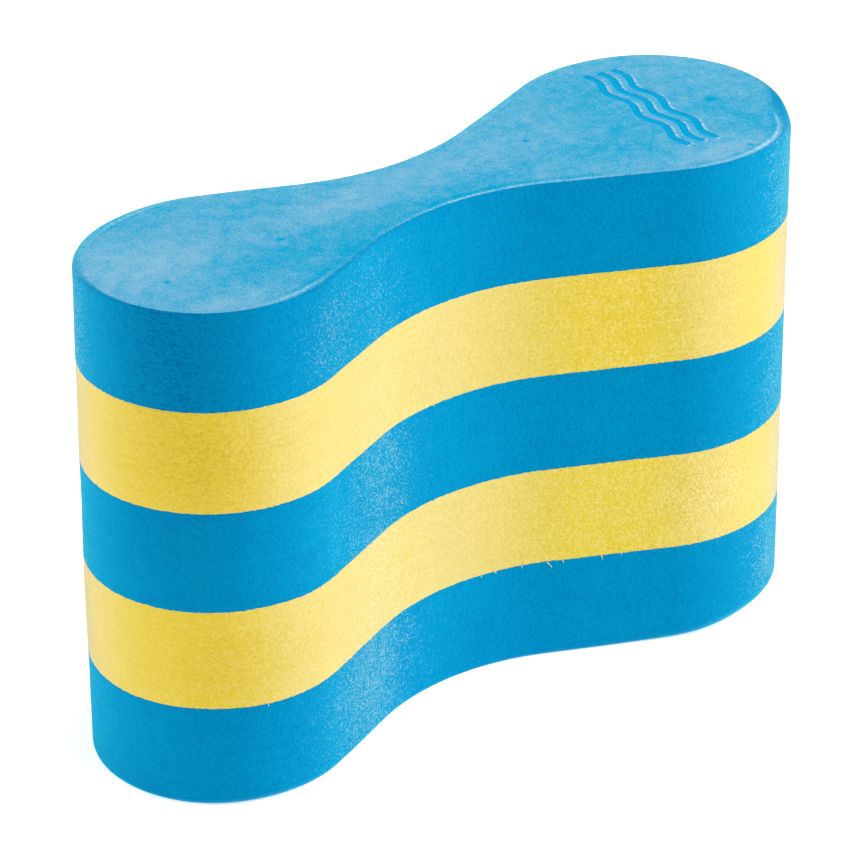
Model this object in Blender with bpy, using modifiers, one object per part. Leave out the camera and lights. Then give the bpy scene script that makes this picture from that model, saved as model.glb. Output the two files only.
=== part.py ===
"""A swimmer's pull buoy: five foam sheets bonded into one block and cut to a figure of eight.

Metres, +Z up. The origin is the centre of the bottom face. +X runs along the length towards the
larger of the two floats, and the sheets are stacked along +Z. Nothing on it moves.
"""

import math

import bmesh
import bpy

# Driving dimensions of the figure of eight.
LENGTH = 0.228
SMALL_FLOAT_RADIUS = 0.0368
LARGE_FLOAT_RADIUS = 0.0414
WAIST_RADIUS = 0.0712  # of the hollow that the thigh lies in, on each side
WAIST_HALF_WIDTH = 0.0159
WAIST_X = -0.0082  # the narrowest place lies nearer the small float
ARC_STEP = math.radians(6)

# Driving dimensions of the stack, from the bottom up: node name, sheet pitch, colour.
BLUE, YELLOW, ADHESIVE = "blue_foam", "yellow_foam", "adhesive"
SHEETS = (
    ("bottom_foam_layer", 0.031, BLUE),
    ("lower_yellow_foam_layer", 0.030, YELLOW),
    ("middle_foam_layer", 0.030, BLUE),
    ("upper_yellow_foam_layer", 0.030, YELLOW),
    ("top_foam_layer", 0.029, BLUE),
)
TOP_ARRIS = 0.0025  # rounding of the uppermost and lowest edges, left by moulding and handling
BOTTOM_ARRIS = 0.0015
ARRIS_SEGMENTS = 4

# The adhesive film in each joint, a hair back from the cut faces and clear of both sheets.
FILM_THICKNESS = 0.0002
FILM_CLEARANCE = 0.0001
FILM_SETBACK = 0.0004
JOINT_THICKNESS = FILM_THICKNESS + 2 * FILM_CLEARANCE

# The stamped ornament on the large float: parallel waves that run across it.
STAMP_DEPTH = 0.0009
STAMP_CENTRE = (0.0753, 0.0010)
STAMP_LENGTH = 0.054
STAMP_TURN = math.radians(-8)
WAVE_COUNT = 3
WAVE_PITCH = 0.0047
WAVE_WIDTH = 0.0021
WAVE_HEIGHT = 0.0011
WAVES_ALONG = 3
POINTS_A_WAVE = 12
CAP_POINTS = 5

COLOURS = {
    BLUE: (0.004, 0.330, 0.640, 1),
    YELLOW: (0.880, 0.700, 0.130, 1),
    ADHESIVE: (0.760, 0.750, 0.690, 1),
}
ROUGHNESS = {BLUE: 0.85, YELLOW: 0.85, ADHESIVE: 0.60}


def arc(centre, radius, start, end):
    """Points along an arc, both ends included; clockwise where end is below start."""
    steps = max(2, math.ceil(abs(end - start) / ARC_STEP))
    angles = (start + (end - start) * i / steps for i in range(steps + 1))
    return [(centre[0] + radius * math.cos(a), centre[1] + radius * math.sin(a)) for a in angles]


def tangent_angle(float_x, float_radius, waist_y, side):
    """Direction from a float's centre to where the straight flank leaves it for the waist."""
    across, up = WAIST_X - float_x, waist_y
    lean = math.acos((float_radius + WAIST_RADIUS) / math.hypot(across, up))
    return math.atan2(up, across) - side * lean


def figure_of_eight(inset=0.0):
    """The outline, drawn in by inset all round: two floats, straight flanks and two waist arcs."""
    small_x = SMALL_FLOAT_RADIUS - LENGTH / 2
    large_x = LENGTH / 2 - LARGE_FLOAT_RADIUS
    waist_y = WAIST_HALF_WIDTH + WAIST_RADIUS
    at_large = tangent_angle(large_x, LARGE_FLOAT_RADIUS, waist_y, 1)
    at_small = tangent_angle(small_x, SMALL_FLOAT_RADIUS, waist_y, -1)
    upper = arc((large_x, 0), LARGE_FLOAT_RADIUS - inset, 0, at_large)
    upper += arc((WAIST_X, waist_y), WAIST_RADIUS + inset, at_large - math.pi, at_small - math.pi)
    upper += arc((small_x, 0), SMALL_FLOAT_RADIUS - inset, at_small, math.pi)
    lower = [(x, -y) for x, y in reversed(upper[1:-1])]
    return upper + lower


def wave_stroke(row):
    """Outline of one wave of the ornament: a sine band of even width with round ends."""
    steps = WAVES_ALONG * POINTS_A_WAVE
    swing = math.tau * WAVES_ALONG / STAMP_LENGTH
    offset = (row - (WAVE_COUNT - 1) / 2) * WAVE_PITCH

    def edge(i, side):
        along = STAMP_LENGTH * (i / steps - 0.5)
        slope = WAVE_HEIGHT * swing * math.cos(swing * along)
        out = side * WAVE_WIDTH / 2 / math.hypot(1, slope)
        return offset + WAVE_HEIGHT * math.sin(swing * along) + out, along - slope * out

    def round_end(along, towards):
        slope = WAVE_HEIGHT * swing * math.cos(swing * along)
        middle = (offset + WAVE_HEIGHT * math.sin(swing * along), along)
        start = -math.atan(slope) + (0 if towards > 0 else math.pi)
        turns = (start + math.pi * k / CAP_POINTS for k in range(1, CAP_POINTS))
        reach = WAVE_WIDTH / 2
        return [(middle[0] + reach * math.cos(a), middle[1] + reach * math.sin(a)) for a in turns]

    points = [edge(i, 1) for i in range(steps + 1)]
    points += round_end(STAMP_LENGTH / 2, 1)
    points += [edge(i, -1) for i in range(steps, -1, -1)]
    return points + round_end(-STAMP_LENGTH / 2, -1)


def turned(points, angle):
    c, s = math.cos(angle), math.sin(angle)
    return [(c * x - s * y, s * x + c * y) for x, y in points]


def flat_solid(name, outlines, thickness, location, collection):
    """A 2D curve object, filled and extruded, with its middle plane at location."""
    curve = bpy.data.curves.new(name, "CURVE")
    curve.dimensions = "2D"
    curve.fill_mode = "BOTH"
    curve.extrude = thickness / 2
    for points in outlines:
        spline = curve.splines.new("POLY")
        spline.points.add(len(points) - 1)
        for point, (x, y) in zip(spline.points, points):
            point.co = (x, y, 0, 1)
        spline.use_cyclic_u = True
    obj = bpy.data.objects.new(name, curve)
    obj.location = location
    collection.objects.link(obj)
    return obj


def as_mesh(obj):
    """Turns a curve object into a closed mesh object of the same name, place and parent."""
    bpy.context.view_layer.update()
    evaluated = obj.evaluated_get(bpy.context.evaluated_depsgraph_get())
    mesh = bpy.data.meshes.new_from_object(evaluated)
    cage = bmesh.new()
    cage.from_mesh(mesh)
    bmesh.ops.remove_doubles(cage, verts=cage.verts, dist=1e-6)
    bmesh.ops.dissolve_limit(
        cage, angle_limit=math.radians(0.5), verts=cage.verts, edges=cage.edges
    )
    bmesh.ops.recalc_face_normals(cage, faces=cage.faces)
    cage.to_mesh(mesh)
    cage.free()
    name, collection = obj.name, obj.users_collection[0]
    solid = bpy.data.objects.new(name, mesh)
    solid.matrix_world = obj.matrix_world
    collection.objects.link(solid)
    bpy.data.objects.remove(obj)
    solid.name = name
    return solid


def round_rim(obj, side, radius):
    """Rounds the arris round the upper (side 1) or lower (side -1) face of a sheet."""
    mesh = obj.data
    face_z = side * max(side * v.co.z for v in mesh.vertices)
    weights = mesh.attributes.new("bevel_weight_edge", "FLOAT", "EDGE")
    for edge in mesh.edges:
        on_face = all(abs(mesh.vertices[i].co.z - face_z) < 1e-6 for i in edge.vertices)
        weights.data[edge.index].value = float(on_face)
    bevel = obj.modifiers.new("rounded arris", "BEVEL")
    bevel.limit_method = "WEIGHT"
    bevel.width = radius
    bevel.segments = ARRIS_SEGMENTS
    mesh.shade_smooth()
    mesh.set_sharp_from_angle(angle=math.radians(30))


def foam_material(name):
    material = bpy.data.materials.new(name)
    material.use_nodes = True
    shader = material.node_tree.nodes["Principled BSDF"]
    shader.inputs["Base Color"].default_value = COLOURS[name]
    shader.inputs["Roughness"].default_value = ROUGHNESS[name]
    shader.inputs["Metallic"].default_value = 0
    material.diffuse_color = COLOURS[name]
    return material


def clear_scene():
    for obj in list(bpy.data.objects):
        bpy.data.objects.remove(obj, do_unlink=True)


def new_collection(name):
    collection = bpy.data.collections.new(name)
    bpy.context.scene.collection.children.link(collection)
    return collection


def stack_sheets(parts, materials):
    """The five sheets, each cut half a joint short on every side that is bonded."""
    sheets = []
    foot = 0.0
    for i, (name, pitch, colour) in enumerate(SHEETS):
        low = foot + (JOINT_THICKNESS / 2 if i > 0 else 0)
        high = foot + pitch - (JOINT_THICKNESS / 2 if i < len(SHEETS) - 1 else 0)
        place = (0, 0, (low + high) / 2)
        sheet = as_mesh(flat_solid(name, [figure_of_eight()], high - low, place, parts))
        sheet.data.materials.append(materials[colour])
        sheets.append(sheet)
        foot += pitch
    return sheets


def bond_sheets(parts, materials):
    """One adhesive film in each of the joints between sheets."""
    films = []
    height = 0.0
    for i, (_, pitch, _) in enumerate(SHEETS[:-1]):
        height += pitch
        outline = [figure_of_eight(FILM_SETBACK)]
        film = flat_solid(f"glue_line_{i + 1}", outline, FILM_THICKNESS, (0, 0, height), parts)
        film.data.materials.append(materials[ADHESIVE])
        films.append(film)
    return films


def stamp(sheet, cutters):
    """Presses the ornament into the upper face of the top sheet."""
    waves = [turned(wave_stroke(row), STAMP_TURN) for row in range(WAVE_COUNT)]
    top = sum(pitch for _, pitch, _ in SHEETS)
    place = (STAMP_CENTRE[0], STAMP_CENTRE[1], top)
    cutter = as_mesh(flat_solid("wave_stamp", waves, 2 * STAMP_DEPTH, place, cutters))
    cutter.hide_render = True
    cutter.display_type = "WIRE"
    cut = sheet.modifiers.new("stamped waves", "BOOLEAN")
    cut.operation = "DIFFERENCE"
    cut.object = cutter


def main():
    clear_scene()
    parts = new_collection("Pull buoy")
    cutters = new_collection("Cutters")
    materials = {name: foam_material(name) for name in COLOURS}
    root = bpy.data.objects.new("pull_buoy", None)
    parts.objects.link(root)

    sheets = stack_sheets(parts, materials)
    round_rim(sheets[0], -1, BOTTOM_ARRIS)
    round_rim(sheets[-1], 1, TOP_ARRIS)
    stamp(sheets[-1], cutters)
    for piece in sheets + bond_sheets(parts, materials):
        piece.parent = root


main()
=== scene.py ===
"""Looks of the pull buoy: five foam sheets in two colours, bonded and cut to a figure of eight.

Everything is in metres and in the frame of the CAD model, +X towards the larger float, +Z up.
Each sheet is a fine mesh in place of its plain CAD solid. The walls carry the marks of the wire
that cut them, the joints wander a little, and the upper face has its raised lip and stamped waves.
"""

import math

import bpy
import numpy as np
from mathutils import Matrix, Vector, geometry, kdtree, noise


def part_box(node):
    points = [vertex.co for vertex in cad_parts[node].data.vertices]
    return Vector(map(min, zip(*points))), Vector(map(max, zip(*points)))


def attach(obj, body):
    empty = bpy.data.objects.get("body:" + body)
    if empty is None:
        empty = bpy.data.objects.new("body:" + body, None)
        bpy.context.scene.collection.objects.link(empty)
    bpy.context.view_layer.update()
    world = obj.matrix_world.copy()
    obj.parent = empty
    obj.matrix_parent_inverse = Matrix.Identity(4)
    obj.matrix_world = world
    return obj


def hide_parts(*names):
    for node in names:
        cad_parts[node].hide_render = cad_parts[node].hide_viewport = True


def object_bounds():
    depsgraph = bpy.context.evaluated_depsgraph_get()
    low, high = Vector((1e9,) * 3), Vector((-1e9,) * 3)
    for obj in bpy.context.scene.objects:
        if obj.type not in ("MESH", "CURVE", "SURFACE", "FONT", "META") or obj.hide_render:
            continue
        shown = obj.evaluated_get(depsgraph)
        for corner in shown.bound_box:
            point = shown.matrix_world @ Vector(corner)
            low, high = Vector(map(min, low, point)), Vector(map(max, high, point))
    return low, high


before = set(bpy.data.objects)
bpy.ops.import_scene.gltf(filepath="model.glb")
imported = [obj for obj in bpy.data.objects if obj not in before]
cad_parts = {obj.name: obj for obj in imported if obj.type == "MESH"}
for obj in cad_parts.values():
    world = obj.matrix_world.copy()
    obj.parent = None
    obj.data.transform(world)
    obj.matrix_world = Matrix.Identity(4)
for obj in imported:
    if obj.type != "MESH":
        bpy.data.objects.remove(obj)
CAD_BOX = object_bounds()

MM = 0.001

# ---------------------------------------------------------------- figure of eight, as in the CAD
LENGTH = CAD_BOX[1].x - CAD_BOX[0].x
TOP = CAD_BOX[1].z
SMALL_FLOAT_RADIUS = 36.8 * MM
LARGE_FLOAT_RADIUS = 41.4 * MM
WAIST_RADIUS = 71.2 * MM
WAIST_HALF_WIDTH = 15.9 * MM
WAIST_X = -8.2 * MM

# ---------------------------------------------------------------- how the sheets are stacked
# CAD node, piece name, material slot, from the bottom up.
SHEETS = (
    ("bottom_foam_layer", "bottom_foam_sheet", "blue_foam"),
    ("lower_yellow_foam_layer", "lower_yellow_foam_sheet", "yellow_foam"),
    ("middle_foam_layer", "middle_foam_sheet", "blue_foam"),
    ("upper_yellow_foam_layer", "upper_yellow_foam_sheet", "yellow_foam"),
    ("top_foam_layer", "top_foam_sheet", "blue_foam"),
)
FILMS = ("glue_line_1", "glue_line_2", "glue_line_3", "glue_line_4")

# ---------------------------------------------------------------- mesh fineness
ARC_STEP = math.radians(0.25)
COLUMNS = 1024  # points round every wall
ROW_HEIGHT = 0.75 * MM
EDGE_ROW = 0.2 * MM  # the first and last rows of a wall lie this far from its edges
CAP_SPACING = 0.95 * MM
STAMP_SPACING = 0.36 * MM
STAMP_NEAR = 1.6 * MM  # the face's mesh is as fine as STAMP_SPACING this close to a wave
STAMP_CLEAR = 0.5 * MM  # rings of points replace the fine mesh this close to a wave's edge
SHARP_ANGLE = math.radians(28)

# ---------------------------------------------------------------- joints between sheets
JOINT_DRIFT = 0.16 * MM  # slow rise and fall of a joint round the float
JOINT_DRIFT_SPAN = 38 * MM
JOINT_RAGGED = 0.22 * MM  # torn cells along the joint
JOINT_RAGGED_SPAN = 0.7 * MM
JOINT_ROUNDING = 0.03 * MM
POCKET_INSET = 0.33 * MM  # the bonded faces step back here, which leaves room for the film
POCKET_DEPTH = 0.13 * MM
FILM_INSET, FILM_WAVER, FILM_WAVER_SPAN = 0.55 * MM, 0.12 * MM, 4 * MM
FILM_HALF = 0.1 * MM  # half the film's thickness

# Shreds of yellow foam that hang from the joint under a yellow sheet, on the front:
# number of the joint, x, length, how far the tip goes along +X.
SHREDS = (
    (1, 1.0 * MM, 0.9 * MM, -0.3),
    (1, 5.5 * MM, 0.8 * MM, 0.2),
    (1, 13.5 * MM, 0.9 * MM, 0.1),
    (1, 20.3 * MM, 2.9 * MM, 0.9),
    (1, 24.8 * MM, 1.0 * MM, 0.5),
    (1, 35.0 * MM, 1.5 * MM, 0.2),
    (1, 40.5 * MM, 0.8 * MM, -0.2),
    (1, -86.5 * MM, 1.0 * MM, 0.1),
    (3, -15.5 * MM, 0.7 * MM, 0.2),
)
SHRED_RADIUS = 0.13 * MM
SHRED_ROOT = 2 * SHRED_RADIUS  # how deep in the wall a shred starts
SHRED_OUT = 4.2 * SHRED_RADIUS  # how far its tip stands off
SHRED_CURL = 0.15  # sideways, as a share of its length
SHRED_TAPER, SHRED_FLATNESS = 0.75, 0.6
SHRED_PALENESS = 0.8
SHRED_STEPS, SHRED_SIDES = 6, 6

# ---------------------------------------------------------------- cut walls
# The cut leans in towards the top on one side, most where the wall faces this way.
LEAN, LEAN_FROM, LEAN_FACING = 0.95 * MM, 55 * MM, math.radians(142)
WALL_SWELL, WALL_SWELL_SPAN = 0.16 * MM, 27 * MM
WIRE_CHATTER, WIRE_CHATTER_SPAN = 0.035 * MM, (60 * MM, 60 * MM, 2.4 * MM)
CELL_RELIEF, CELL_RELIEF_SPAN = 0.040 * MM, 1.6 * MM

# Where handling and the wire have torn more cells open, with pale flecks that also paint the sheen
# of side light: x, y, z, reach, reach in height, share.
WEAR_EVERYWHERE = 0.02
WEAR_AND_SHEEN = (
    (-47 * MM, -25 * MM, 75 * MM, 19 * MM, 72 * MM, 0.20),
    (-36 * MM, -21 * MM, 75 * MM, 13 * MM, 60 * MM, 0.22),
    (-47 * MM, -26 * MM, 14 * MM, 20 * MM, 26 * MM, 0.37),
    (-60 * MM, -33 * MM, 134 * MM, 12 * MM, 14 * MM, 0.27),
    (97 * MM, -33 * MM, 60 * MM, 14 * MM, 180 * MM, 0.42),
    (95 * MM, -35 * MM, 12 * MM, 15 * MM, 24 * MM, 0.14),
    (106 * MM, -25 * MM, 75 * MM, 8 * MM, 200 * MM, 0.50),
    (114 * MM, 4 * MM, 75 * MM, 18 * MM, 200 * MM, 0.40),
    (112 * MM, -13 * MM, 75 * MM, 9 * MM, 200 * MM, 0.40),
    (96 * MM, -34 * MM, 136 * MM, 12 * MM, 20 * MM, 0.12),
    (66 * MM, -41 * MM, 47 * MM, 17 * MM, 10 * MM, 0.55),
    (-109 * MM, 18 * MM, 138 * MM, 11 * MM, 26 * MM, 0.60),
    (-109 * MM, 18 * MM, 60 * MM, 11 * MM, 60 * MM, 0.22),
    (-46 * MM, 25 * MM, 90 * MM, 20 * MM, 90 * MM, 0.30),
    (70 * MM, 41 * MM, 50 * MM, 24 * MM, 60 * MM, 0.26),
)

# Where small dark pits and a smooth painted shade make the wall darker: x, y, z, reach, reach in
# height, share.
PITS_AND_SHADE = (
    (-106 * MM, -22 * MM, 146 * MM, 16 * MM, 52 * MM, 0.90),
    (-62 * MM, -34 * MM, 140 * MM, 14 * MM, 16 * MM, 0.45),
    (-96 * MM, -32 * MM, 106 * MM, 22 * MM, 15 * MM, 0.64),
    (-90 * MM, -35 * MM, 44 * MM, 24 * MM, 14 * MM, 0.60),
    (102 * MM, -29 * MM, 75 * MM, 12 * MM, 200 * MM, 0.50),
)

# Where the cells of a yellow sheet stand out more: x, y, z, reach, reach in height, share.
COARSE = (
    (45 * MM, -33 * MM, 75 * MM, 36 * MM, 200 * MM, 1.15),
    (-30 * MM, -20 * MM, 75 * MM, 20 * MM, 200 * MM, 0.60),
    (-84 * MM, -34 * MM, 60 * MM, 26 * MM, 200 * MM, 0.80),
    (45 * MM, 33 * MM, 75 * MM, 40 * MM, 200 * MM, 0.80),
)

# Where a painted sheen of side light makes the cut of a yellow sheet paler: x, y, reach, share.
PAINTED_SHEEN_SPOTS = (
    (-12 * MM, -16 * MM, 22 * MM, 0.95),
    (12 * MM, -19 * MM, 12 * MM, 0.35),
    (-74 * MM, -37 * MM, 12 * MM, 0.75),
    (66 * MM, -41 * MM, 13 * MM, 0.80),
    (-114 * MM, 0 * MM, 12 * MM, 0.20),
    (-48 * MM, -26 * MM, 18 * MM, 0.45),
    (-83 * MM, -37 * MM, 10 * MM, 0.30),
)

# ---------------------------------------------------------------- upper face
# The arris is crisp in front and rolls over more at other places: x, y, reach, more radius.
UPPER_ARRIS = 0.28 * MM
UPPER_ROLLS = (
    (-105 * MM, 22 * MM, 26 * MM, 2.2 * MM),
    (-78 * MM, 37 * MM, 25 * MM, 3.4 * MM),
    (42 * MM, 27 * MM, 34 * MM, 2.6 * MM),
    (76 * MM, 41 * MM, 24 * MM, 2.0 * MM),
    (106 * MM, -24 * MM, 13 * MM, 4.4 * MM),
    (113 * MM, -6 * MM, 12 * MM, 1.2 * MM),
    (-8 * MM, 16 * MM, 30 * MM, 0.8 * MM),
    (-66 * MM, -36 * MM, 16 * MM, 0.9 * MM),
    (-42 * MM, -23 * MM, 13 * MM, 1.0 * MM),
)
LOWER_ARRIS = 1.4 * MM
LOWER_ROLLS = (
    (108 * MM, -20 * MM, 18 * MM, 1.2 * MM),
    (84 * MM, -38 * MM, 24 * MM, 4.4 * MM),
    (-80 * MM, -37 * MM, 22 * MM, 1.4 * MM),
)
ARRIS_STEPS = 7
# Where the rolled arris keeps its unscuffed colour, darkened further as painted shade: x, y,
# reach, share.
ROLL_SHADES = (
    (109 * MM, -16 * MM, 18 * MM, 0.90),
)
# How soon the look of the face ends on a crisp arris and on a wide one, as a power.
CRISP_END, WIDE_END = 18, 3
CRISP_RADIUS, WIDE_RADIUS = 1.0 * MM, 2.2 * MM
ROLL_START = 0.5 * MM  # how far in from a roll its unscuffed colour and painted shade still show
BORDER = 7.4 * MM  # rings of points run this far in before the free mesh of the face starts
BORDER_RINGS, BORDER_CROWDING = 15, 1.4
CROWN, CROWN_REACH = 0.22 * MM, 2.2 * MM  # the face falls this much towards its border
FACE_SWELL, FACE_SWELL_SPAN = 0.12 * MM, 30 * MM
FACE_SWELL_RISE = 8 * MM  # the lower face starts to swell over this much, inside its border
RIM_NIBBLE, RIM_NIBBLE_SPAN, RIM_NIBBLE_REACH = 0.22 * MM, 0.9 * MM, 0.4 * MM  # small bites
LIP_EVERYWHERE = 0.03
LIP_HEIGHT = 0.15 * MM
LIP_WIDTH = 0.24 * MM
LIP_INSET = 1.4  # from the arris to the lip's crest, in lip widths
LIP_RAGGED = (0.8 * MM, 0.70, 1.8, 1.4)  # span, mean, swing and most of its share
TROUGH_DEPTH, TROUGH_INSET, TROUGH_WIDTH = 0.10 * MM, 1.9 * MM, 0.8 * MM
LIPS = (  # x, y, reach along the rim, share of the lip's height and of its pale colour, which is partly a painted highlight
    (-72 * MM, -37 * MM, 12 * MM, 0.50),
    (2 * MM, -15 * MM, 22 * MM, 0.85),
    (28 * MM, -27 * MM, 9 * MM, 0.45),
    (66 * MM, -41 * MM, 9 * MM, 0.35),
    (82 * MM, -39 * MM, 9 * MM, 0.85),
    (92 * MM, -35 * MM, 8 * MM, 0.35),
    (100 * MM, -30 * MM, 5 * MM, 0.35),
    (-86 * MM, 36 * MM, 18 * MM, 0.45),
    (36 * MM, 24 * MM, 20 * MM, 0.22),
)
LIP_SPREADS = (  # x, y, reach along the rim, how much wider the lip is
    (-72 * MM, -37 * MM, 16 * MM, 0.35 * MM),
    (86 * MM, -37 * MM, 20 * MM, 0.48 * MM),
    (-86 * MM, 36 * MM, 25 * MM, 0.30 * MM),
    (36 * MM, 24 * MM, 25 * MM, 0.30 * MM),
)
DIMPLES = (  # x, y, radius, depth
    (92.1 * MM, -5.5 * MM, 1.2 * MM, 0.30 * MM),
    (80.5 * MM, -36.4 * MM, 0.7 * MM, 0.15 * MM),
    (-96.0 * MM, -9.0 * MM, 0.8 * MM, 0.18 * MM),
    (-58.0 * MM, -6.0 * MM, 0.9 * MM, 0.14 * MM),
    (33.0 * MM, 4.0 * MM, 0.9 * MM, 0.14 * MM),
)
NICKS = (  # x, y on the rim, radius, depth
    (-111.6 * MM, -4.9 * MM, 1.1 * MM, 0.50 * MM),
    (-113.4 * MM, 3.4 * MM, 0.8 * MM, 0.30 * MM),
)

DUST_EVERYWHERE = 0.40
DIMPLE_SHADE, TROUGH_SHADE = 1.1, 0.55  # painted shade: how much less pale a dimple and the trough are
TROUGH_SHADE_WIDTH = 1.2 * TROUGH_WIDTH
CLOUDS = (  # paler and deeper clouds, partly painted light and shade: x, y, reach along, reach across, turn in degrees, share; all lengths in millimetres
    (-101, 4, 13, 18, 0, 0.28),
    (-86, 1, 13, 9, 10, 0.24),
    (-34, 2, 18, 6, 0, 0.22),
    (2, 6, 34, 6, 0, 0.14),
    (-84, 24, 12, 6, 15, -0.12),
    (-50, 14, 16, 7, 0, -0.14),
    (-60, -16, 30, 10, -3, -0.32),
    (-62, -31, 14, 5, 10, -0.26),
    (-44, -23, 16, 4, 25, -0.24),
    (-5, -11, 30, 5, 0, -0.28),
    (-90, -31, 16, 6, -20, 0.24),
    (62, 8, 12, 18, 0, -0.16),
    (66, 22, 10, 8, 0, -0.16),
    (50, -16, 16, 9, -30, -0.24),
    (74, -36, 18, 5, -4, 0.36),
    (90, -8, 8, 16, 0, -0.12),
    (106, -22, 6, 12, -30, -0.40),
    (91, -28, 8, 8, 0, -0.22),
    (90, -12, 8, 8, 0, -0.14),
    (60, -5, 8, 8, 0, -0.14),
    (103, 26, 12, 6, -50, 0.12),
)

# ---------------------------------------------------------------- stamped waves
# Their outline is the CAD's.
STAMP_DEPTH = 0.26 * MM  # shallower than in the CAD: the pressed foam has sprung back
STAMP_CENTRE = (75.3 * MM, 1.0 * MM)
STAMP_LENGTH = 54 * MM
STAMP_TURN = math.radians(-8)
WAVE_COUNT = 3
WAVE_PITCH = 4.7 * MM
WAVE_WIDTH = 2.1 * MM
WAVE_HEIGHT = 1.1 * MM
WAVES_ALONG = 3
WAVE_SWING = math.tau * WAVES_ALONG / STAMP_LENGTH
STAMP_WALL = 0.24 * MM  # the width over which a stamped wall falls
WALL_RINGS = (-0.50, -0.25, 0.00, 0.25, 0.50)  # where rings of points run in that width
BURR_HEIGHT, BURR_WIDTH = 0.08 * MM, 0.42 * MM
BURR_RAGGED = (1.3 * MM, 0.55, 1.5, 1.2)  # span, mean, swing and most of its share
BURR_INSET = 0.7  # from a wave's edge to the burr's crest, in burr widths
BURR_WAY = np.array((0.35, -0.94))  # the burrs stand on the sides of the waves that face this way, where their pale colour paints a highlight
BURR_PROBE = 0.05 * MM  # half the step over which a side's facing is measured


# ================================================================ outline
def on_circle(angles):
    return np.column_stack((np.cos(angles), np.sin(angles)))


def arc(centre, radius, start, end):
    """Points along an arc, both ends included; clockwise where end is below start."""
    steps = max(2, math.ceil(abs(end - start) / ARC_STEP))
    return centre + radius * on_circle(np.linspace(start, end, steps + 1))


def tangent_angle(float_x, float_radius, waist_y, side):
    """Direction from a float's centre to where the straight flank leaves it for the waist."""
    across = WAIST_X - float_x
    lean = math.acos((float_radius + WAIST_RADIUS) / math.hypot(across, waist_y))
    return math.atan2(waist_y, across) - side * lean


def figure_of_eight():
    """The closed outline, anticlockwise from the tip of the large float."""
    small_x = SMALL_FLOAT_RADIUS - LENGTH / 2
    large_x = LENGTH / 2 - LARGE_FLOAT_RADIUS
    waist_y = WAIST_HALF_WIDTH + WAIST_RADIUS
    at_large = tangent_angle(large_x, LARGE_FLOAT_RADIUS, waist_y, 1)
    at_small = tangent_angle(small_x, SMALL_FLOAT_RADIUS, waist_y, -1)
    upper = np.vstack((
        arc((large_x, 0), LARGE_FLOAT_RADIUS, 0, at_large),
        arc((WAIST_X, waist_y), WAIST_RADIUS, at_large - math.pi, at_small - math.pi),
        arc((small_x, 0), SMALL_FLOAT_RADIUS, at_small, math.pi),
    ))
    return np.vstack((upper, upper[-2::-1] * (1, -1)))


def evenly_spaced(outline, count):
    """count points round the outline, evenly spaced, with the outward normal at each."""
    walked = np.append(0, np.cumsum(np.hypot(*np.diff(outline, axis=0).T)))
    at = np.linspace(0, walked[-1], count, endpoint=False)
    points = np.column_stack([np.interp(at, walked, outline[:, k]) for k in (0, 1)])
    along = np.roll(points, -1, axis=0) - np.roll(points, 1, axis=0)
    along /= np.linalg.norm(along, axis=1)[:, None]
    return points, np.column_stack((along[:, 1], -along[:, 0]))


RIM, RIM_NORMAL = evenly_spaced(figure_of_eight(), COLUMNS)


# ================================================================ noise
def swell(points, span, octaves=2, shift=0.0):
    """Smooth noise of about -1 to 1 at each of the points, its waves about span across."""
    spans = np.broadcast_to(span, 3)
    return np.array([
        noise.fractal(Vector(p), 1.0, 2.0, octaves) for p in np.asarray(points) / spans + shift
    ])


def bump_at(distance, width):
    """A smooth bump, 1 at no distance and about a third at its width."""
    return np.exp(-((distance / width) ** 2))


def in_space(points):
    """The points of a face as points in space, at no height."""
    return np.column_stack((points, np.zeros(len(points))))


def ragged(points, span, mean, swing, most, shift):
    """Uneven shares at the points of a face: noise about mean, held between 0 and most."""
    return np.clip(mean + swing * swell(in_space(points), span, shift=shift), 0, most)


# ================================================================ stamped waves
def stamp_frame(points):
    """Points of the face in the ornament's own frame: across the waves, and along them."""
    moved = np.asarray(points)[:, :2] - STAMP_CENTRE
    c, s = math.cos(STAMP_TURN), math.sin(STAMP_TURN)
    return moved[:, 0] * c + moved[:, 1] * s, moved[:, 1] * c - moved[:, 0] * s


def wave_middle(row, along):
    """How far across a wave's middle line lies at each place along it, and its slope there."""
    offset = (row - (WAVE_COUNT - 1) / 2) * WAVE_PITCH
    across = offset + WAVE_HEIGHT * np.sin(WAVE_SWING * along)
    return across, WAVE_HEIGHT * WAVE_SWING * np.cos(WAVE_SWING * along)


def stamp_distance(points):
    """How far each point is outside the nearest wave; negative inside it."""
    across, along = stamp_frame(points)
    held = np.clip(along, -STAMP_LENGTH / 2, STAMP_LENGTH / 2)
    nearest = np.full(len(across), LENGTH)
    for row in range(WAVE_COUNT):
        middle, slope = wave_middle(row, held)
        beside = np.abs(across - middle) / np.hypot(1, slope)
        past_end = np.hypot(across - middle, along - held)
        nearest = np.minimum(nearest, np.where(along == held, beside, past_end))
    return nearest - WAVE_WIDTH / 2


def stamp_burr(points):
    """Share of a burr at each point: ragged, outside the waves, on one of their sides; its pale
    colour is partly a painted highlight.
    """
    gap = stamp_distance(points)
    step = BURR_PROBE * BURR_WAY
    slope = (stamp_distance(points + step) - stamp_distance(points - step)) / (2 * BURR_PROBE)
    facing = np.clip(2.2 * slope - 0.5, 0, 1)
    crest = bump_at(gap - BURR_INSET * BURR_WIDTH, BURR_WIDTH)
    return crest * facing * ragged(points, *BURR_RAGGED, shift=4.0)


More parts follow.
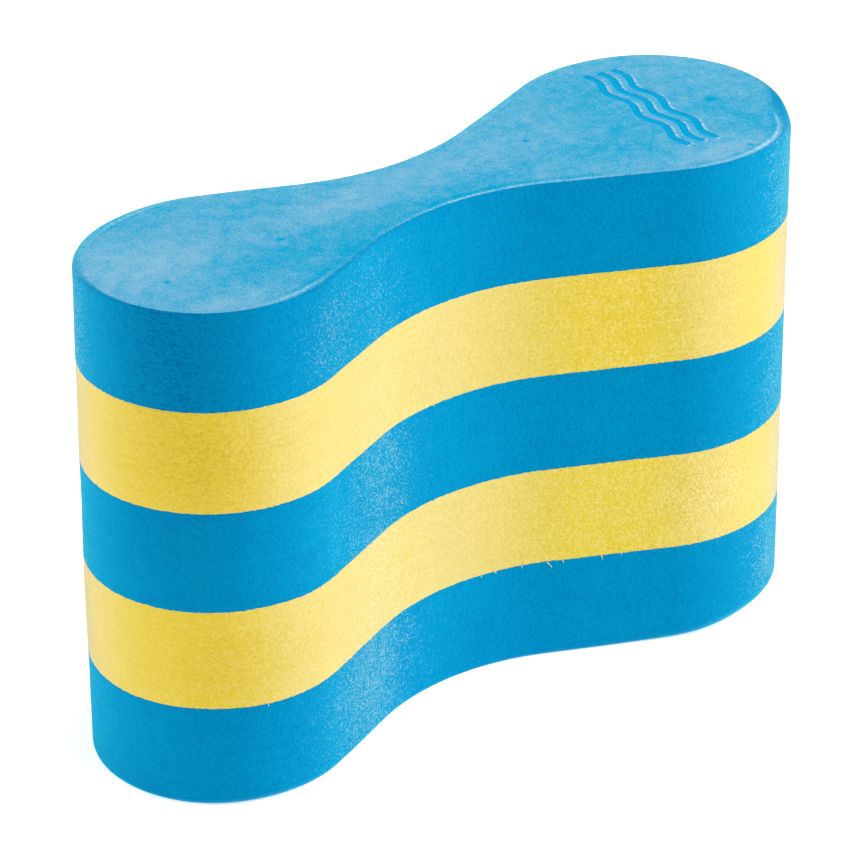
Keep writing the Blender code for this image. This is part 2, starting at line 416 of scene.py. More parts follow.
def wave_ring(row, reach):
    """Points round one wave, reach away from its middle line."""
    steps = round(STAMP_LENGTH / STAMP_SPACING)
    along = np.linspace(-STAMP_LENGTH / 2, STAMP_LENGTH / 2, steps + 1)
    across, slope = wave_middle(row, along)
    middle = np.column_stack((across, along))
    out = np.column_stack((np.ones_like(slope), -slope)) / np.hypot(1, slope)[:, None] * reach
    end_steps = max(4, round(math.pi * reach / STAMP_SPACING))
    turns = np.linspace(0, math.pi, end_steps + 1)[1:-1] - math.atan(slope[-1])
    far = middle[-1] + reach * on_circle(turns)
    near = middle[0] + reach * on_circle(turns + math.pi)
    local = np.vstack((middle + out, far, (middle - out)[::-1], near))
    c, s = math.cos(STAMP_TURN), math.sin(STAMP_TURN)
    return local @ np.array(((c, s), (-s, c))) + STAMP_CENTRE


# ================================================================ faces of the sheets
def lattice(spacing):
    """A triangular lattice over the whole face."""
    rows = np.arange(-LARGE_FLOAT_RADIUS, LARGE_FLOAT_RADIUS, spacing * math.sqrt(3) / 2)
    row = np.arange(-LENGTH / 2, LENGTH / 2, spacing)
    return np.array([(x + (i % 2) * spacing / 2, y) for i, y in enumerate(rows) for x in row])


def rim_tree():
    """Finds the point of the rim that is nearest to a place."""
    tree = kdtree.KDTree(COLUMNS)
    for i, (x, y) in enumerate(RIM):
        tree.insert((x, y, 0), i)
    tree.balance()
    return tree


RIM_TREE = rim_tree()


def inward(points):
    """How far each point lies inside the rim, negative outside, and the nearest rim point."""
    found = [RIM_TREE.find((x, y, 0))[1] for x, y in points]
    depth = -np.einsum("ij,ij->i", points - RIM[found], RIM_NORMAL[found])
    return depth, np.array(found)


def face_points(stamped):
    """Free points of a face, inside its border, closer together round the stamped waves."""
    points = lattice(CAP_SPACING)
    if stamped:
        points = points[stamp_distance(points) >= STAMP_NEAR]
        fine = lattice(STAMP_SPACING)
        gap = stamp_distance(fine)
        fine = fine[(gap < STAMP_NEAR) & (np.abs(gap) > STAMP_CLEAR)]
        reaches = [WAVE_WIDTH / 2 + share * STAMP_WALL for share in WALL_RINGS]
        rings = [wave_ring(row, reach) for row in range(WAVE_COUNT) for reach in reaches]
        points = np.vstack((points, fine, *rings))
    depth, _ = inward(points)
    return points[depth > BORDER + 0.5 * CAP_SPACING]


def stamp_relief(points):
    """Height of the ornament over the plain face, and how deep in the ornament each point is."""
    sunk = np.clip(0.5 - stamp_distance(points) / STAMP_WALL, 0, 1)
    sunk = sunk * sunk * (3 - 2 * sunk)
    burr = stamp_burr(points)
    return BURR_HEIGHT * burr - STAMP_DEPTH * sunk, sunk, burr


def rim_sum(start, bumps):
    """A value for every rim point: start, and more near the places listed as x, y, reach, more."""
    total = np.full(COLUMNS, start)
    for x, y, reach, more in bumps:
        total += more * bump_at(np.hypot(RIM[:, 0] - x, RIM[:, 1] - y), reach)
    return total


UPPER_RADIUS = rim_sum(UPPER_ARRIS, UPPER_ROLLS)
LOWER_RADIUS = rim_sum(LOWER_ARRIS, LOWER_ROLLS)
ROLL_SHADE_SHARE = rim_sum(0.0, ROLL_SHADES)
LIP_SHARE = rim_sum(LIP_EVERYWHERE, LIPS)
LIP_SPREAD = rim_sum(LIP_WIDTH, LIP_SPREADS)


def dust_at(points):
    """How pale the upper face is at each point, dusty in places, with painted light and shade: 1
    palest, 0 plain, negative deeper in colour.
    """
    points = np.asarray(points)
    total = np.full(len(points), DUST_EVERYWHERE)
    # clouds, partly painted light and shade
    for x, y, along, across, turn, share in CLOUDS:
        c, s = math.cos(math.radians(turn)), math.sin(math.radians(turn))
        right, back = points[:, 0] - x * MM, points[:, 1] - y * MM
        u = (right * c + back * s) / (along * MM)
        v = (back * c - right * s) / (across * MM)
        total += share * np.exp(-u * u - v * v)
    # painted shade in the trough behind the lip
    depth, nearest = inward(points)
    behind = depth - UPPER_RADIUS[nearest] - TROUGH_INSET
    total -= TROUGH_SHADE * LIP_SHARE[nearest] * bump_at(behind, TROUGH_SHADE_WIDTH)
    # painted shade in the dimples
    for x, y, radius, _ in DIMPLES:
        total -= DIMPLE_SHADE * bump_at(np.hypot(points[:, 0] - x, points[:, 1] - y), radius)
    return total


def upper_relief(points):
    """Height of the upper face at each point over a flat one, with its stamp and lip shares."""
    depth, nearest = inward(points)
    flat = in_space(points)
    height = FACE_SWELL * swell(flat, FACE_SWELL_SPAN)
    height -= CROWN * np.exp(-depth / CROWN_REACH)
    nibble = np.clip(swell(flat, RIM_NIBBLE_SPAN, shift=6.0), 0, 1)
    height -= RIM_NIBBLE * nibble * np.exp(-depth / RIM_NIBBLE_REACH)
    beyond = depth - UPPER_RADIUS[nearest]
    spread = LIP_SPREAD[nearest]
    lip = LIP_SHARE[nearest] * bump_at(beyond - LIP_INSET * spread, spread)
    lip *= ragged(points, *LIP_RAGGED, shift=7.0)
    height += LIP_HEIGHT * lip
    height -= TROUGH_DEPTH * LIP_SHARE[nearest] * bump_at(beyond - TROUGH_INSET, TROUGH_WIDTH)
    for x, y, radius, drop in DIMPLES + NICKS:
        height -= drop * bump_at(np.hypot(points[:, 0] - x, points[:, 1] - y), radius)
    relief, sunk, burr = stamp_relief(points)
    return height + relief, sunk, np.maximum(lip, burr)


# ================================================================ walls of the sheets
def joint_height(level, index):
    """Height of joint number index round the float: it drifts, and its edge is ragged."""
    at = np.column_stack((RIM, np.full(COLUMNS, 0.5 * index)))
    drift = JOINT_DRIFT * swell(at, JOINT_DRIFT_SPAN, shift=3.0 * index)
    torn = JOINT_RAGGED * swell(at, JOINT_RAGGED_SPAN, 2, shift=11.0 + index)
    return level + drift + torn


def lean_in(height):
    """How far the cut stands in at this height above the floor."""
    facing = np.clip(RIM_NORMAL @ (math.cos(LEAN_FACING), math.sin(LEAN_FACING)), 0, 1)
    return LEAN * facing * np.clip((height - LEAN_FROM) / (TOP - LEAN_FROM), 0, 1)


def wall_relief(points):
    """Outward relief of the cut wall."""
    relief = WALL_SWELL * swell(points, WALL_SWELL_SPAN, shift=2.0)
    relief += WIRE_CHATTER * swell(points, WIRE_CHATTER_SPAN, shift=5.0)
    relief += CELL_RELIEF * swell(points, CELL_RELIEF_SPAN, 3, shift=9.0)
    return relief


def near_spots(points, start, spots):
    """A value at points of a wall: start, more near spots of x, y, z, reach, reach up, more."""
    total = np.full(len(points), start)
    for x, y, z, reach, reach_up, more in spots:
        aside = np.hypot(points[:, 0] - x, points[:, 1] - y) / reach
        total += more * np.exp(-(aside**2) - ((points[:, 2] - z) / reach_up) ** 2)
    return total


def painted_sheen_at(points):
    """How much paler a painted sheen makes a yellow wall at each point."""
    total = np.zeros(len(points))
    for x, y, reach, share in PAINTED_SHEEN_SPOTS:
        total += share * bump_at(np.hypot(points[:, 0] - x, points[:, 1] - y), reach)
    return total


def shred_path(joint, x, length, sideways):
    """Points along a shred, from inside the wall to its tip, and the wall's outward normal."""
    front = np.flatnonzero(RIM[:, 1] < 0)
    column = front[np.argmin(np.abs(RIM[front, 0] - x))]
    normal = np.append(RIM_NORMAL[column], 0)
    along = np.array((-normal[1], normal[0], 0))
    root = np.append(RIM[column], joint) - normal * SHRED_ROOT + (0, 0, SHRED_RADIUS)
    way = along * sideways + np.array((0, 0, -1))
    way *= length / np.linalg.norm(way)
    shares = np.linspace(0, 1, SHRED_STEPS)[:, None]
    out = normal * SHRED_OUT * np.sqrt(shares)
    curl = along * SHRED_CURL * length * np.sin(math.pi * shares)
    return root + way * shares + out + curl, normal


class Skin:
    """Rings of points from one face of a sheet, down its wall, to the other face."""

    def __init__(self):
        self.points, self.faces = [], []
        names = ("stamp", "lip", "dust", "face", "rolled", "wear_and_sheen", "pits_and_shade", "painted_sheen", "coarse")
        self.marks = {name: [] for name in names}
        self.count = 0
        self.last = None

    def add(self, points, **marks):
        """Adds points with their marks; a mark that isn't given comes from the spots, or is 0."""
        start = self.count
        points = np.asarray(points, float)
        marks.setdefault("wear_and_sheen", near_spots(points, WEAR_EVERYWHERE, WEAR_AND_SHEEN))
        marks.setdefault("pits_and_shade", near_spots(points, 0.0, PITS_AND_SHADE))
        marks.setdefault("painted_sheen", painted_sheen_at(points))
        marks.setdefault("coarse", near_spots(points, 0.0, COARSE))
        self.points.append(points)
        self.count += len(points)
        for name, kept in self.marks.items():
            kept.append(np.broadcast_to(marks.get(name, 0.0), len(points)))
        return start

    def ring(self, points, **marks):
        """One more ring below the last, joined to it."""
        start = self.add(points, **marks)
        if self.last is not None:
            above, below = self.last + np.arange(COLUMNS), start + np.arange(COLUMNS)
            right = np.roll(above, -1), np.roll(below, -1)
            self.faces += np.column_stack((above, below, right[1], right[0])).tolist()
        self.last = start
        return start

    def close(self, start, upwards):
        """A single flat face inside the ring that begins at start."""
        ring = list(range(start, start + COLUMNS))
        self.faces.append(ring if upwards else ring[::-1])

    def fill(self, start, ring, inner, heights, upwards, **marks):
        """A mesh of triangles inside the ring, through the inner points."""
        first = self.add(np.column_stack((inner, heights)), **marks)
        flat = [Vector(p) for p in np.vstack((ring, inner))]
        loop = [list(range(COLUMNS))]
        made = geometry.delaunay_2d_cdt(flat, [], loop, 1, 1e-8)
        index = [sources[0] for sources in made[3]]
        place = [start + i if i < COLUMNS else first + i - COLUMNS for i in index]
        for face in made[2]:
            corners = [place[i] for i in face]
            self.faces.append(corners if upwards else corners[::-1])

    def shred(self, path, normal):
        """A small closed strand along path, thinner towards its tip."""
        across = np.cross(path[-1] - path[0], normal)
        across /= np.linalg.norm(across)
        turns = np.linspace(0, math.tau, SHRED_SIDES, endpoint=False)[:, None]
        circle = across * np.cos(turns) + normal * SHRED_FLATNESS * np.sin(turns)
        starts = []
        for k, spot in enumerate(path):
            radius = SHRED_RADIUS * (1 - SHRED_TAPER * k / (len(path) - 1))
            starts.append(self.add(spot + circle * radius, lip=SHRED_PALENESS))
        for above, below in zip(starts, starts[1:]):
            for i in range(SHRED_SIDES):
                j = (i + 1) % SHRED_SIDES
                self.faces.append([above + i, above + j, below + j, below + i])
        self.faces.append([starts[0] + i for i in reversed(range(SHRED_SIDES))])
        self.faces.append([starts[-1] + i for i in range(SHRED_SIDES)])

    def object(self, name):
        """The finished mesh object, with each mark as an attribute of its points."""
        mesh = bpy.data.meshes.new(name)
        mesh.from_pydata(np.vstack(self.points).tolist(), [], self.faces)
        for mark, kept in self.marks.items():
            attribute = mesh.attributes.new(mark, "FLOAT", "POINT")
            attribute.data.foreach_set("value", np.concatenate(kept).astype(np.float32))
        mesh.validate()
        mesh.shade_smooth()
        mesh.set_sharp_from_angle(angle=SHARP_ANGLE)
        obj = bpy.data.objects.new(name, mesh)
        bpy.context.scene.collection.objects.link(obj)
        return obj


def inset_rim(inset):
    """The rim drawn in by inset, which is one value or one for each point."""
    return RIM - RIM_NORMAL * np.reshape(inset, (-1, 1))


def ring_at(inset, height):
    return np.column_stack((inset_rim(inset), np.broadcast_to(height, COLUMNS)))


def border_insets(radius):
    """Insets of the rings between the free mesh of a face and its arris, from the inside out."""
    shares = np.linspace(1, 0, BORDER_RINGS) ** BORDER_CROWDING
    return [radius + (BORDER - radius) * share for share in shares]


def upper_face(skin, level):
    """The stamped upper face, its border and its arris, down to where the wall starts."""
    lean = lean_in(level)
    inner = face_points(True)
    height, sunk, lip = upper_relief(inner)
    first = None
    for inset in border_insets(UPPER_RADIUS):
        spots = inset_rim(inset + lean)
        rise, _, share = upper_relief(inset_rim(inset))
        rolled = ROLL_SHADE_SHARE**2 * np.exp((UPPER_RADIUS - inset) / ROLL_START)
        marks = {"lip": share, "dust": dust_at(spots), "face": 1.0, "rolled": rolled}
        ring = skin.ring(np.column_stack((spots, level + rise)), **marks)
        first = ring if first is None else first
    marks = {"stamp": sunk, "lip": lip, "dust": dust_at(inner), "face": 1.0}
    skin.fill(first, inset_rim(BORDER + lean), inner, level + height, True, **marks)
    end = np.interp(UPPER_RADIUS, (CRISP_RADIUS, WIDE_RADIUS), (CRISP_END, WIDE_END))
    for k in range(1, ARRIS_STEPS):
        turn = math.pi / 2 * k / ARRIS_STEPS
        inset = UPPER_RADIUS * (1 - math.sin(turn))
        fade = math.cos(turn)
        rise, _, share = upper_relief(inset_rim(inset))
        height = level - UPPER_RADIUS * (1 - fade) + rise * fade
        out = inset + lean - (1 - fade) * wall_relief(ring_at(0, height))
        rolled = ROLL_SHADE_SHARE * (1 - fade ** (2 * CRISP_END))
        marks = {"lip": share * fade**4, "dust": dust_at(inset_rim(inset)), "rolled": rolled}
        skin.ring(ring_at(out, height), face=fade**end, **marks)


def lower_face(skin, level):
    """The lower arris, border and face, from the wall inwards."""
    for k in range(1, ARRIS_STEPS + 1):
        turn = math.pi / 2 * k / ARRIS_STEPS
        inset = LOWER_RADIUS * (1 - math.cos(turn))
        height = level + LOWER_RADIUS * (1 - math.sin(turn))
        relief = math.cos(turn) * wall_relief(ring_at(0, height))
        skin.ring(ring_at(inset - relief, height), dust=DUST_EVERYWHERE, face=math.sin(turn) ** 2)
    for inset in border_insets(LOWER_RADIUS)[-2::-1]:
        last = skin.ring(ring_at(inset, level), dust=DUST_EVERYWHERE, face=1.0)
    inner = face_points(False)
    depth, _ = inward(inner)
    hollow = FACE_SWELL * (0.5 + 0.5 * swell(in_space(inner), FACE_SWELL_SPAN, shift=4.0))
    hollow *= np.clip((depth - BORDER) / FACE_SWELL_RISE, 0, 1)
    marks = {"dust": DUST_EVERYWHERE, "face": 1.0}
    skin.fill(last, inset_rim(BORDER), inner, level + hollow, False, **marks)


def wall_rows(low, high):
    """Shares of the wall's height, from the top down, closer together next to its edges."""
    rows = max(4, round((high - low) / ROW_HEIGHT))
    edge = EDGE_ROW / (high - low)
    return np.concatenate(([1 - edge], np.linspace(1, 0, rows + 1)[1:-1], [edge]))


def make_sheet(name, low, high, low_joint, high_joint):
    """One foam sheet. A joint of None is a free face of the whole float."""
    skin = Skin()
    if high_joint is None:
        upper_face(skin, high)
        high_edge = high - UPPER_RADIUS
    else:
        high_edge = joint_height(high, high_joint)
        pocket = skin.ring(ring_at(POCKET_INSET + lean_in(high), high - POCKET_DEPTH))
        skin.close(pocket, True)
        rounding = JOINT_ROUNDING + lean_in(high_edge)
        skin.ring(ring_at(rounding - wall_relief(ring_at(0, high)), high_edge))
    low_edge = joint_height(low, low_joint) if low_joint is not None else low + LOWER_RADIUS
    for share in wall_rows(low, high):
        height = low_edge + (high_edge - low_edge) * share
        skin.ring(ring_at(lean_in(height) - wall_relief(ring_at(0, height)), height))
    if low_joint is None:
        lower_face(skin, low)
    else:
        rounding = JOINT_ROUNDING + lean_in(low_edge)
        skin.ring(ring_at(rounding - wall_relief(ring_at(0, low)), low_edge))
        pocket = skin.ring(ring_at(POCKET_INSET + lean_in(low), low + POCKET_DEPTH))
        skin.close(pocket, False)
        for joint, x, length, sideways in SHREDS:
            if joint == low_joint:
                skin.shred(*shred_path(low, x, length, sideways))
    return skin.object(name)


def make_film(name, level):
    """The adhesive in one joint, set back from the walls, with an edge that wavers."""
    skin = Skin()
    spots = np.column_stack((RIM, np.full(COLUMNS, level)))
    inset = FILM_INSET + lean_in(level) + FILM_WAVER * swell(spots, FILM_WAVER_SPAN)
    skin.close(skin.ring(ring_at(inset, level + FILM_HALF)), True)
    skin.close(skin.ring(ring_at(inset, level - FILM_HALF)), False)
    return skin.object(name)


# ================================================================ materials
class Nodes:
    """Short ways to add and join shader nodes."""

    def __init__(self, name):
        self.material = bpy.data.materials.new(name)
        self.material.use_nodes = True
        self.tree = self.material.node_tree
        self.shader = self.tree.nodes["Principled BSDF"]
        self.place = self.add("ShaderNodeTexCoord").outputs["Object"]

    def add(self, kind, **settings):
        node = self.tree.nodes.new(kind)
        for name, value in settings.items():
            setattr(node, name, value)
        return node

    def link(self, source, socket):
        if hasattr(source, "links"):
            self.tree.links.new(source, socket)
        else:
            socket.default_value = source

    def noise(self, span, detail=2.0, roughness=0.5, stretch=(1, 1, 1), shift=0.0):
        """Noise of 0 to 1, its cells about span across, drawn out along an axis by stretch."""
        mapping = self.add("ShaderNodeMapping")
        self.link(self.place, mapping.inputs["Vector"])
        mapping.inputs["Scale"].default_value = [1 / (span * k) for k in stretch]
        mapping.inputs["Location"].default_value = (shift, shift, shift)
        texture = self.add("ShaderNodeTexNoise")
        self.link(mapping.outputs["Vector"], texture.inputs["Vector"])
        texture.inputs["Scale"].default_value = 1.0
        texture.inputs["Detail"].default_value = detail
        texture.inputs["Roughness"].default_value = roughness
        return texture.outputs["Fac"]

    def mark(self, name):
        return self.add("ShaderNodeAttribute", attribute_name=name).outputs["Fac"]

    def math(self, operation, a, b=0.0, clamp=False):
        node = self.add("ShaderNodeMath", operation=operation, use_clamp=clamp)
        self.link(a, node.inputs[0])
        self.link(b, node.inputs[1])
        return node.outputs[0]

    def plus(self, a, b):
        return self.math("ADD", a, b)

    def minus(self, a, b):
        return self.math("SUBTRACT", a, b)

    def times(self, a, b, clamp=False):
        return self.math("MULTIPLY", a, b, clamp)

    def steps(self, value, low, high):
        """0 at low, 1 at high, smooth between them and level beyond them."""
        node = self.add("ShaderNodeMapRange", interpolation_type="SMOOTHSTEP")
        self.link(value, node.inputs["Value"])
        node.inputs["From Min"].default_value = low
        node.inputs["From Max"].default_value = high
        return node.outputs["Result"]

    def mix(self, share, a, b):
        """Colour a where share is 0 and colour b where it is 1."""
        node = self.add("ShaderNodeMix", data_type="RGBA")
        self.link(share, node.inputs[0])
        self.link(a, node.inputs[6])
        self.link(b, node.inputs[7])
        return node.outputs[2]

    def bump(self, height, distance):
        node = self.add("ShaderNodeBump")
        self.link(height, node.inputs["Height"])
        node.inputs["Distance"].default_value = distance
        node.inputs["Strength"].default_value = 1.0
        return node.outputs["Normal"]


PATCH_SPAN, PATCH_DEPTH = 5 * MM, 0.16
CLOUD_SPAN, CLOUD_DEPTH = 24 * MM, 0.12
DRAG_SPAN, DRAG_STRETCH = 1.1 * MM, (24, 24, 1)  # level streaks left by the cutting wire
STRIPE_SPAN, STRIPE_STRETCH, STRIPE_DEPTH = 1.4 * MM, (1, 1, 16), 0.65  # upright stripes in the torn cells and the painted sheen
FLECKS_FROM = 0.02  # foam with fewer torn cells and less painted sheen than this has no pale flecks
THREAD_EDGE, THREAD_CORE = 0.035, 0.005
SPECK_SPAN, SPECK_STRETCH, SPECK_SHARE = 0.9 * MM, (1.6, 1.6, 1), 0.60
SPECK_EDGE, SPECK_CORE = 0.49, 0.40
GRAIN_SPAN = 0.46 * MM
GRAIN_IN_DUST, SHREDS_IN_DUST, PATCHES_IN_DUST = 2.8, 0.7, 0.9
SHRED_CELLS = 2.3  # a shred's span in cells
SHREDS_IN_RELIEF, MEAN_RELIEF = 0.7, 0.85
SOUND_RELIEF, WORN_RELIEF = 0.6, 1.6
CELLS_IN_ROUGHNESS = 0.18
SHEEN_ROUGHNESS = 0.5


def cut_colour(n, look, cells, shreds, patches, wear_and_sheen):
    """Colour of a cut wall: pale and dark cells, slow patches, torn cells and threads that also
    paint sheen, pitted specks with painted shade, and painted sheen on yellow.
    """
    clouds = n.noise(CLOUD_SPAN, 2.0, 0.55, shift=9.0)
    drag = n.noise(DRAG_SPAN, 2.0, stretch=DRAG_STRETCH, shift=1.0)
    slow = n.plus(n.times(patches, PATCH_DEPTH), n.times(clouds, CLOUD_DEPTH))
    slow = n.plus(slow, n.times(drag, look["drag"]))
    slow = n.minus(slow, (PATCH_DEPTH + CLOUD_DEPTH + look["drag"]) / 2)
    lift = n.plus(cells, slow)
    calm = n.times(n.minus(1.0, n.mark("coarse")), look["calm"])
    stark = n.minus(1.0, calm)
    pale = n.times(n.steps(lift, *look["pale_from"]), n.times(stark, look["pale_share"]))
    dark = n.times(n.steps(lift, *look["dark_from"]), n.times(stark, look["dark_share"]))

    stripes = n.minus(n.noise(STRIPE_SPAN, 1.0, stretch=STRIPE_STRETCH, shift=2.0), 0.5)
    striped = n.plus(wear_and_sheen, n.times(n.times(stripes, wear_and_sheen), STRIPE_DEPTH))
    opened = n.plus(cells, n.times(slow, 0.5))
    opened = n.plus(opened, n.times(striped, look["wear_reach"]))
    opened = n.times(n.steps(opened, *look["worn_from"]), look["worn_share"])
    flecked = n.times(n.minus(wear_and_sheen, FLECKS_FROM), look["fleck_gain"], clamp=True)
    thread = n.steps(n.math("ABSOLUTE", n.minus(shreds, 0.5)), THREAD_EDGE, THREAD_CORE)
    thread = n.times(thread, n.times(wear_and_sheen, look["thread_share"]))
    specks = n.noise(SPECK_SPAN, 3.0, 0.6, stretch=SPECK_STRETCH, shift=12.0)
    pitted = n.plus(n.times(n.steps(specks, SPECK_EDGE, SPECK_CORE), SPECK_SHARE), 1 - SPECK_SHARE)

    # painted sheen: yellow walls paler where side light would gloss them
    colour = n.mix(n.mark("painted_sheen"), look["body"], look["painted_sheen"])
    colour = n.mix(dark, colour, look["deep"])
    colour = n.mix(pale, colour, look["pale"])
    # pale flecks of torn cells, partly a painted sheen of side light
    colour = n.mix(n.times(opened, flecked), colour, look["worn_and_sheen"])
    colour = n.mix(thread, colour, look["worn_and_sheen"])
    # dark pitted specks, with painted shade spread smoothly between them
    return n.mix(n.times(pitted, n.mark("pits_and_shade")), colour, look["pit_and_shade"])


def face_colour(n, look, shreds, patches):
    """Colour of a free face, which handling has dulled in places, with painted light and shade on
    it.
    """
    grain = n.noise(GRAIN_SPAN, 3.0, 0.65, shift=6.0)
    dust = n.plus(n.mark("dust"), n.times(n.minus(grain, 0.5), GRAIN_IN_DUST))
    dust = n.plus(dust, n.times(n.minus(shreds, 0.5), SHREDS_IN_DUST))
    dust = n.plus(dust, n.times(n.minus(patches, 0.5), PATCHES_IN_DUST))
    return n.mix(n.times(dust, 1.0, clamp=True), look["clean"], look["dust"])


def foam(name, look):
    """Closed-cell foam: cut walls, free faces, and the rolled, torn and pressed places, with
    painted sheen, highlights and shade.
    """
    n = Nodes(name)
    cells = n.noise(look["cell"], 3.0, 0.65)
    shreds = n.noise(look["cell"] * SHRED_CELLS, 2.0, 0.6, shift=3.0)
    patches = n.noise(PATCH_SPAN, 2.0, shift=5.0)
    # torn cells, and pale flecks painted as the sheen of side light
    wear_and_sheen = n.times(n.mark("wear_and_sheen"), n.minus(1.0, n.mark("face")))

    colour = cut_colour(n, look, cells, shreds, patches, wear_and_sheen)
    colour = n.mix(n.mark("face"), colour, face_colour(n, look, shreds, patches))
    # rolled arris: unscuffed colour, darkened as painted shade
    colour = n.mix(n.mark("rolled"), colour, look["rolled"])
    # lips and burrs: pale torn foam, partly a painted highlight on their crests
    colour = n.mix(n.mark("lip"), colour, look["torn"])
    colour = n.mix(n.mark("stamp"), colour, look["pressed"])
    n.link(colour, n.shader.inputs["Base Color"])

    rough = n.plus(n.times(cells, CELLS_IN_ROUGHNESS), look["roughness"])
    n.link(rough, n.shader.inputs["Roughness"])
    height = n.plus(cells, n.times(n.steps(shreds, 0.35, 0.65), SHREDS_IN_RELIEF))
    height = n.minus(height, MEAN_RELIEF)
    height = n.times(height, n.plus(n.times(wear_and_sheen, WORN_RELIEF), SOUND_RELIEF))
    n.link(n.bump(height, look["relief"]), n.shader.inputs["Normal"])

    n.shader.inputs["Specular IOR Level"].default_value = look["gloss"]
    n.shader.inputs["Specular Tint"].default_value = look["gloss_tint"]
    n.shader.inputs["Sheen Weight"].default_value = look["sheen"]
    n.shader.inputs["Sheen Roughness"].default_value = SHEEN_ROUGHNESS
    n.shader.inputs["Sheen Tint"].default_value = look["sheen_tint"]
    return n.material


BLUE_LOOK = {
    "body": (0.000, 0.204, 0.428, 1),
    "painted_sheen": (0.000, 0.204, 0.428, 1),
    "deep": (0.000, 0.146, 0.342, 1),
    "pale": (0.000, 0.267, 0.501, 1),
    "pit_and_shade": (0.000, 0.112, 0.287, 1),
    "worn_and_sheen": (0.190, 0.334, 0.445, 1),
    "clean": (0.000, 0.260, 0.502, 1),
    "dust": (0.245, 0.398, 0.552, 1),
    "rolled": (0.000, 0.165, 0.390, 1),
    "torn": (0.430, 0.640, 0.740, 1),
    "pressed": (0.000, 0.275, 0.570, 1),
    "cell": 0.60 * MM,
    "pale_from": (0.48, 0.64),
    "pale_share": 0.50,
    "dark_from": (0.46, 0.34),
    "dark_share": 0.56,
    "calm": 0.0,
    "worn_from": (0.63, 0.66),
    "worn_share": 1.0,
    "fleck_gain": 4.5,
    "wear_reach": 0.21,
    "thread_share": 0.25,
    "drag": 0.16,
    "relief": 0.12 * MM,
    "roughness": 0.72,
    "gloss": 0.05,
    "gloss_tint": (0.00, 0.60, 1.00, 1),
    "sheen": 0.40,
    "sheen_tint": (0.00, 0.96, 1.00, 1),
}
YELLOW_LOOK = {
    "body": (0.714, 0.529, 0.023, 1),
    "painted_sheen": (0.660, 0.533, 0.154, 1),
    "deep": (0.631, 0.456, 0.004, 1),
    "pale": (0.768, 0.604, 0.159, 1),
    "pit_and_shade": (0.592, 0.418, 0.004, 1),
    "worn_and_sheen": (0.816, 0.705, 0.290, 1),
    "clean": (0.765, 0.560, 0.040, 1),
    "dust": (0.820, 0.670, 0.200, 1),
    "rolled": (0.700, 0.500, 0.020, 1),
    "torn": (0.880, 0.800, 0.450, 1),
    "pressed": (0.700, 0.520, 0.020, 1),
    "cell": 0.75 * MM,
    "pale_from": (0.49, 0.62),
    "pale_share": 0.72,
    "dark_from": (0.47, 0.36),
    "dark_share": 0.66,
    "calm": 0.62,
    "worn_from": (0.62, 0.70),
    "worn_share": 0.5,
    "fleck_gain": 2.2,
    "wear_reach": 0.16,
    "thread_share": 0.95,
    "drag": 0.18,
    "relief": 0.12 * MM,
    "roughness": 0.72,
    "gloss": 0.05,
    "gloss_tint": (1.00, 1.00, 1.00, 1),
    "sheen": 0.60,
    "sheen_tint": (0.30, 0.50, 1.00, 1),
}


GLUE_COLOURS = (0.62, 0.60, 0.50, 1), (0.74, 0.72, 0.64, 1)
BEAD_COLOUR = (0.50, 0.47, 0.36, 1)
GLUE_RELIEF = 0.05 * MM


def glue():
    """The thin film of contact adhesive in every joint."""
    n = Nodes("contact adhesive")
    smear = n.noise(6 * MM, 3.0, 0.6, stretch=(2.5, 1, 1))
    beads = n.noise(0.9 * MM, 2.0, shift=4.0)
    colour = n.mix(n.steps(smear, 0.35, 0.65), *GLUE_COLOURS)
    colour = n.mix(n.times(n.steps(beads, 0.60, 0.70), 0.5), colour, BEAD_COLOUR)
    n.link(colour, n.shader.inputs["Base Color"])
    n.link(n.plus(n.times(beads, 0.30), 0.35), n.shader.inputs["Roughness"])
    height = n.plus(smear, n.times(beads, 0.5))
    n.link(n.bump(height, GLUE_RELIEF), n.shader.inputs["Normal"])
    return n.material


# ================================================================ assembly
def joint_levels():
    """Heights of the joints: halfway between one CAD sheet's top and the next one's bottom."""
    boxes = [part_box(node) for node, _, _ in SHEETS]
    return [(below[1].z + above[0].z) / 2 for below, above in zip(boxes, boxes[1:])]


def build_sheets(materials):
    """The five foam sheets, each in the place of its CAD solid."""
    joints = joint_levels()
    levels = [CAD_BOX[0].z, *joints, TOP]
    for i, (node, name, slot) in enumerate(SHEETS):
        low_joint = i if i > 0 else None
        high_joint = i + 1 if i < len(SHEETS) - 1 else None
        sheet = make_sheet(name, levels[i], levels[i + 1], low_joint, high_joint)
        sheet.data.materials.append(materials[slot])
        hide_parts(node)
        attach(sheet, "root")


def build_films(material):
    """The four adhesive films, each in the place of its CAD solid."""
    for node, level in zip(FILMS, joint_levels()):
        film = make_film(node.replace("glue_line", "adhesive_film"), level)
        film.data.materials.append(material)
        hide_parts(node)
        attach(film, "root")


FLOOR_REACH = 4.0
FLOOR_COLOUR = (0.92, 0.92, 0.92, 1)
FLOOR_GLOW = 0.53  # lifts the lit floor to plain white


def build_floor():
    """A white floor, which is stage and not part of the object."""
    sides = ((-1, -1), (1, -1), (1, 1), (-1, 1))
    corners = [(x * FLOOR_REACH, y * FLOOR_REACH, 0) for x, y in sides]
    mesh = bpy.data.meshes.new("floor")
    mesh.from_pydata(corners, [], [(0, 1, 2, 3)])
    floor = bpy.data.objects.new("floor", mesh)
    bpy.context.scene.collection.objects.link(floor)
    n = Nodes("pale floor")
    n.shader.inputs["Base Color"].default_value = FLOOR_COLOUR
    n.shader.inputs["Emission Color"].default_value = (1, 1, 1, 1)
    n.shader.inputs["Emission Strength"].default_value = FLOOR_GLOW
    n.shader.inputs["Roughness"].default_value = 0.9
    floor.data.materials.append(n.material)


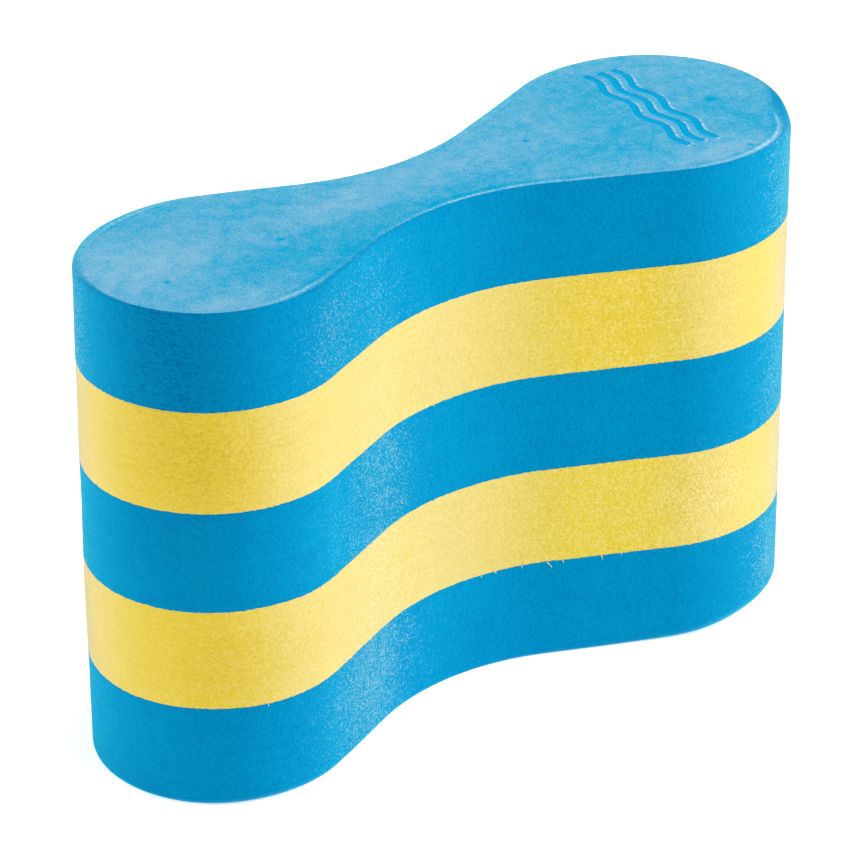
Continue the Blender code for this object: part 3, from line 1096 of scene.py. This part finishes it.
# ================================================================ camera and light
LENS, SENSOR_WIDTH = 171.7, 36
CLIP_START, CLIP_END = 0.05, 20
CAMERA_AZIMUTH, CAMERA_ELEVATION, CAMERA_ROLL = -37.03, 28.06, 0.41
CAMERA_DISTANCE = 1.156
AIM_RIGHT, AIM_UP = -3.38 * MM, -3.33 * MM


def build_camera():
    centre = Vector((0, 0, TOP / 2))
    azimuth, elevation = math.radians(CAMERA_AZIMUTH), math.radians(CAMERA_ELEVATION)
    back = Vector((
        math.sin(azimuth) * math.cos(elevation),
        -math.cos(azimuth) * math.cos(elevation),
        math.sin(elevation),
    ))
    roll = Matrix.Rotation(math.radians(-CAMERA_ROLL), 3, "Z").to_quaternion()
    turn = back.to_track_quat("Z", "Y") @ roll
    camera = bpy.data.objects.new("camera", bpy.data.cameras.new("camera"))
    camera.data.lens = LENS
    camera.data.sensor_width = SENSOR_WIDTH
    camera.data.clip_start = CLIP_START
    camera.data.clip_end = CLIP_END
    camera.rotation_mode = "QUATERNION"
    camera.rotation_quaternion = turn
    camera.location = centre + back * CAMERA_DISTANCE + turn @ Vector((AIM_RIGHT, AIM_UP, 0))
    bpy.context.scene.collection.objects.link(camera)
    bpy.context.scene.camera = camera


LIGHTS = (  # azimuth and elevation in degrees, power in watts
    (-37, 34, 46.0),
    (-62, 64, 24.0),
    (113, 12, 21.0),
    (150, 12, 25.0),
    (0, 90, 9.0),
)
LIGHT_DISTANCE = 2.6
LIGHT_DIAMETER = 1.3
SKY = 0.34


def build_light():
    world = bpy.data.worlds.new("studio")
    world.use_nodes = True
    world.node_tree.nodes["Background"].inputs["Color"].default_value = (1, 1, 1, 1)
    world.node_tree.nodes["Background"].inputs["Strength"].default_value = SKY
    bpy.context.scene.world = world
    bpy.context.scene.view_settings.view_transform = "Standard"
    centre = Vector((0, 0, TOP / 2))
    for i, (azimuth, elevation, power) in enumerate(LIGHTS):
        lamp = bpy.data.lights.new(f"soft light {i + 1}", "AREA")
        lamp.shape = "DISK"
        lamp.size = LIGHT_DIAMETER
        lamp.energy = power
        a, e = math.radians(azimuth), math.radians(elevation)
        towards = Vector((math.cos(a) * math.cos(e), math.sin(a) * math.cos(e), math.sin(e)))
        obj = bpy.data.objects.new(lamp.name, lamp)
        obj.location = centre + towards * LIGHT_DISTANCE
        obj.rotation_mode = "QUATERNION"
        obj.rotation_quaternion = towards.to_track_quat("Z", "Y")
        bpy.context.scene.collection.objects.link(obj)


build_camera()
build_light()
build_floor()
build_sheets({
    "blue_foam": foam("blue foam", BLUE_LOOK),
    "yellow_foam": foam("yellow foam", YELLOW_LOOK),
})
build_films(glue())
